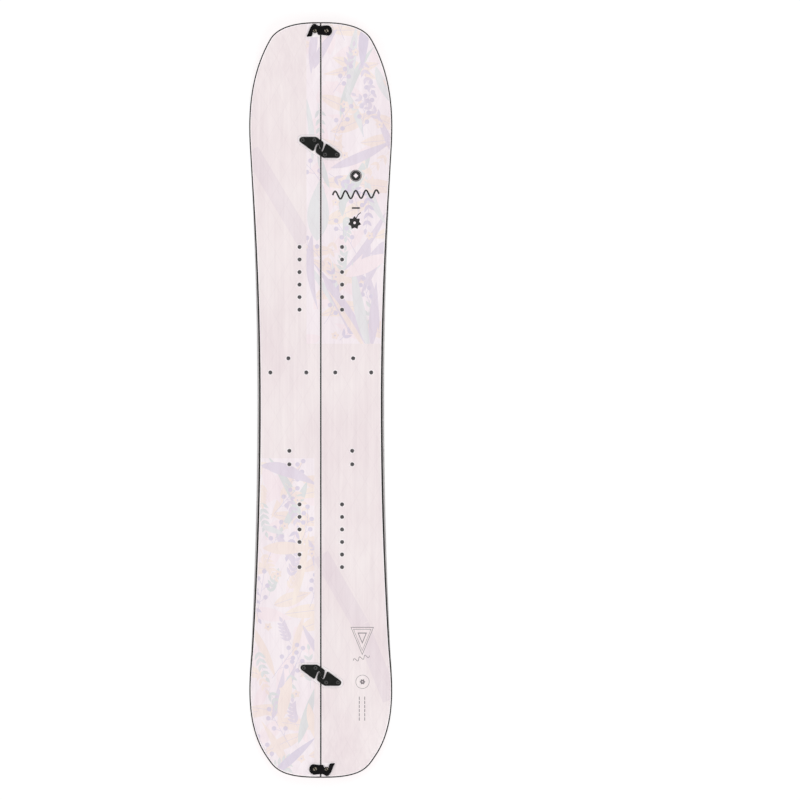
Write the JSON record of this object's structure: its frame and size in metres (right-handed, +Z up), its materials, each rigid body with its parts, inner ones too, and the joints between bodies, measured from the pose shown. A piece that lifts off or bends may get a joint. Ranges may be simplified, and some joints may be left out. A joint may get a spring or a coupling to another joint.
{
  "type": "splitboard",
  "caption": "Splitboard snowboard in two halves joined along a lengthwise seam by board hooks and tip clips, with steel edges, coral base tips and binding inserts.",
  "frame": {"origin": "on the ground plane, at the middle of the board's length and on its seam", "axes": "+Y to the nose, +X to the right half as seen from above with the nose away, +Z up from the topsheet"},
  "size_m": [0.2902, 1.53, 0.0495],
  "materials": {
    "topsheet": "satin printed nylon topsheet, pale pinkish white with pastel leaves",
    "laminate": "dark glass fibre and resin",
    "core_wood": "laminated poplar stringers",
    "sidewall": "black ABS, bevelled along the outer edge",
    "base": "near-black sintered polyethylene, stone ground",
    "inlay": "coral pink polyethylene inlay",
    "steel_edge": "ground steel",
    "insert_metal": "dark threaded stainless steel",
    "hook_plastic": "black moulded nylon",
    "hook_screw_metal": "blackened steel",
    "clip_lever_plastic": "black anodised and moulded lever",
    "clip_bolt_metal": "steel with a worn slot",
    "nut_metal": "slotted steel"
  },
  "bodies": {
    "right_half": {"base_sheet_right": "base", "core_right": "core_wood", "front_hook_right": "hook_plastic", "front_hook_screw_right_1": "hook_screw_metal", "front_hook_screw_right_2": "hook_screw_metal", "front_puck_inserts_right": "insert_metal", "heel_insert_1_right": "insert_metal", "heel_insert_2_right": "insert_metal", "inner_sidewall_right": "sidewall", "inner_steel_edge_right": "steel_edge", "lower_laminate_right": "laminate", "nose_inlay_right": "inlay", "outer_sidewall_right": "sidewall", "outer_steel_edge_right": "steel_edge", "rear_hook_right": "hook_plastic", "rear_hook_screw_right_1": "hook_screw_metal", "rear_hook_screw_right_2": "hook_screw_metal", "rear_puck_inserts_right": "insert_metal", "tail_inlay_right": "inlay", "topsheet_right": "topsheet", "touring_insert_1_right": "insert_metal", "touring_insert_2_right": "insert_metal", "touring_insert_3_right": "insert_metal", "upper_laminate_right": "laminate", "nose_clip_pivot_bolt": "clip_bolt_metal", "nose_pivot_nut": "nut_metal", "tail_clip_stud": "clip_bolt_metal", "tail_stud_nut": "nut_metal"},
    "left_half": {"base_sheet_left": "base", "core_left": "core_wood", "front_hook_left": "hook_plastic", "front_hook_screw_left_1": "hook_screw_metal", "front_hook_screw_left_2": "hook_screw_metal", "front_puck_inserts_left": "insert_metal", "heel_insert_1_left": "insert_metal", "heel_insert_2_left": "insert_metal", "inner_sidewall_left": "sidewall", "inner_steel_edge_left": "steel_edge", "lower_laminate_left": "laminate", "nose_inlay_left": "inlay", "outer_sidewall_left": "sidewall", "outer_steel_edge_left": "steel_edge", "rear_hook_left": "hook_plastic", "rear_hook_screw_left_1": "hook_screw_metal", "rear_hook_screw_left_2": "hook_screw_metal", "rear_puck_inserts_left": "insert_metal", "tail_inlay_left": "inlay", "topsheet_left": "topsheet", "touring_insert_1_left": "insert_metal", "touring_insert_2_left": "insert_metal", "touring_insert_3_left": "insert_metal", "upper_laminate_left": "laminate", "nose_clip_stud": "clip_bolt_metal", "nose_stud_nut": "nut_metal", "tail_clip_pivot_bolt": "clip_bolt_metal", "tail_pivot_nut": "nut_metal"},
    "nose_clip": {"nose_clip_lever": "clip_lever_plastic"},
    "tail_clip": {"tail_clip_lever": "clip_lever_plastic"}
  },
  "joints": [
    {"name": "split_slide", "type": "slide", "parent": "right_half", "child": "left_half", "axis": [-0.3256, 0.9455, 0], "range_m": [0, 0.024]},
    {"name": "nose_clip_swing", "type": "hinge", "parent": "right_half", "child": "nose_clip", "pos_m": [0.0117, 0.7495, 0.03779], "axis": [0, -0.2588, 0.9659], "range_deg": [-150, 0]},
    {"name": "tail_clip_swing", "type": "hinge", "parent": "left_half", "child": "tail_clip", "pos_m": [-0.0117, -0.7495, 0.02926], "axis": [0, 0.2588, 0.9659], "range_deg": [-150, 0]}
  ],
  "couplings": [
    {"joint": "nose_clip_swing", "follows": "split_slide", "rad_per_m": -109},
    {"joint": "tail_clip_swing", "follows": "split_slide", "rad_per_m": -109}
  ]
}
